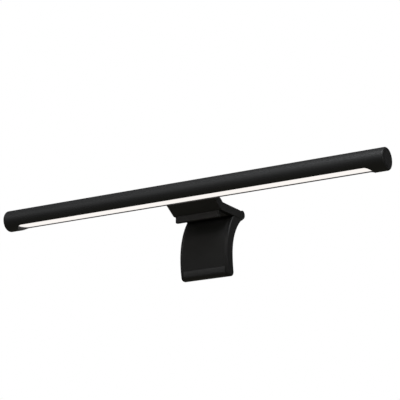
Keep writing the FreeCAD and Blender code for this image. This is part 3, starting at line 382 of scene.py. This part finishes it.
def board_passives(looks):
    """Two rows of small resistors beside the chip, each with a soldered cap at either end."""
    board_top = node_box("driver_board")[1].z
    middle = node_box("driver_chip")[2]
    width, depth, height = PASSIVE_SIZE
    z = board_top + height / 2
    spots = []
    for k in range(PASSIVE_COUNT):
        for side in (-1, 1):
            x = middle.x + (k - (PASSIVE_COUNT - 1) / 2) * PASSIVE_PITCH
            spots.append((x, middle.y + side * PASSIVE_OFFSET, z))
    small_blocks("board_passives", "black_component", looks, spots, PASSIVE_SIZE)
    cap = width * CAP_SHARE
    ends = [(x + side * (width + cap) / 2, y, z) for x, y, z in spots for side in (-1, 1)]
    small_blocks("passive_ends", "zinc_steel", looks, ends, (cap, depth, height))


def direction(azimuth, elevation):
    """Unit vector from the object towards that azimuth and elevation, in degrees."""
    a, e = math.radians(azimuth), math.radians(elevation)
    return Vector((math.sin(a) * math.cos(e), -math.cos(a) * math.cos(e), math.sin(e)))


def make_camera():
    """A long lens from in front, to the right and from below."""
    lens = bpy.data.cameras.new("camera")
    lens.lens = CAMERA_LENS
    lens.clip_end = FLOOR_RADIUS * 3
    camera = bpy.data.objects.new("camera", lens)
    bpy.context.scene.collection.objects.link(camera)
    back = direction(CAMERA_AZIMUTH, CAMERA_ELEVATION)
    camera.location = CAMERA_AIM + back * CAMERA_DISTANCE
    camera.rotation_mode = "QUATERNION"
    camera.rotation_quaternion = (-back).to_track_quat("-Z", "Y")
    bpy.context.scene.camera = camera


def soft_light(name, azimuth, elevation, distance, size, power, colour):
    """A rectangular soft light that faces the object's middle."""
    lamp = bpy.data.lights.new(name, "AREA")
    lamp.shape = "RECTANGLE"
    lamp.size, lamp.size_y = size
    lamp.energy = power
    lamp.color = colour
    light = bpy.data.objects.new(name, lamp)
    bpy.context.scene.collection.objects.link(light)
    back = direction(azimuth, elevation)
    light.location = CAMERA_AIM + back * distance
    light.rotation_mode = "QUATERNION"
    light.rotation_quaternion = (-back).to_track_quat("-Z", "Y")


def make_world():
    """White to look at; as a light, dim, brightest in front and below, and warmer from below."""
    world = bpy.data.worlds.new("studio")
    bpy.context.scene.world = world
    world.use_nodes = True
    nodes, links = world.node_tree.nodes, world.node_tree.links
    place = nodes.new("ShaderNodeTexCoord")
    split = nodes.new("ShaderNodeSeparateXYZ")
    links.new(place.outputs["Generated"], split.inputs[0])

    def calculate(operation, *values):
        node = nodes.new("ShaderNodeMath")
        node.operation = operation
        for socket, value in zip(node.inputs, values):
            if isinstance(value, bpy.types.NodeSocket):
                links.new(value, socket)
            else:
                socket.default_value = value
        return node.outputs["Value"]

    frontness = calculate("MULTIPLY_ADD", split.outputs["Y"], -0.5, 0.5)
    front = calculate("MULTIPLY_ADD", frontness, FRONT_LIGHT - BACK_LIGHT, BACK_LIGHT)
    side = calculate("MULTIPLY", calculate("POWER", split.outputs["X"], 2.0), SIDE_LIGHT)
    depth = calculate("MAXIMUM", calculate("MULTIPLY", split.outputs["Z"], -1.0), 0.0)
    below = calculate("MULTIPLY", depth, UNDER_LIGHT)
    strength = calculate("ADD", front, calculate("ADD", side, below))
    warmth = calculate("MULTIPLY_ADD", split.outputs["Z"], WARMTH_SLOPE, LEVEL_WARMTH)
    tint = nodes.new("ShaderNodeMix")
    tint.data_type = "RGBA"
    tint.inputs[6].default_value = WHITE
    tint.inputs[7].default_value = WARM
    links.new(warmth, tint.inputs["Factor"])
    lit = nodes["Background"]
    links.new(tint.outputs[2], lit.inputs["Color"])
    links.new(strength, lit.inputs["Strength"])
    seen = nodes.new("ShaderNodeBackground")
    seen.inputs["Color"].default_value = WHITE
    path = nodes.new("ShaderNodeLightPath")
    choose = nodes.new("ShaderNodeMixShader")
    links.new(path.outputs["Is Camera Ray"], choose.inputs["Fac"])
    links.new(lit.outputs[0], choose.inputs[1])
    links.new(seen.outputs[0], choose.inputs[2])
    links.new(choose.outputs[0], nodes["World Output"].inputs["Surface"])


def make_floor():
    """A pale floor that is seen, but that neither shades nor mirrors in the object."""
    bpy.ops.mesh.primitive_circle_add(vertices=96, radius=FLOOR_RADIUS, fill_type="NGON")
    floor = bpy.context.object
    floor.name = "floor"
    floor.location.z = CAD_BOX[0].z - FLOOR_DEPTH
    floor.visible_diffuse = False
    floor.visible_glossy = False
    paint = Surface(
        "floor_paint",
        Base_Color=grey(FLOOR_SHADE),
        Roughness=0.9,
        Emission_Color=WHITE,
        Emission_Strength=FLOOR_GLOW,
    )
    floor.data.materials.append(paint.material)


def make_studio():
    """Surroundings, floor and soft lights, shown with plain colours."""
    make_world()
    make_floor()
    for light in SOFT_LIGHTS:
        soft_light(*light)
    bpy.context.scene.view_settings.view_transform = "Standard"


finishes = dress_nodes()
socket_contacts(finishes)
chip_legs(finishes)
board_passives(finishes)
twisting_spring(finishes)
make_studio()
make_camera()
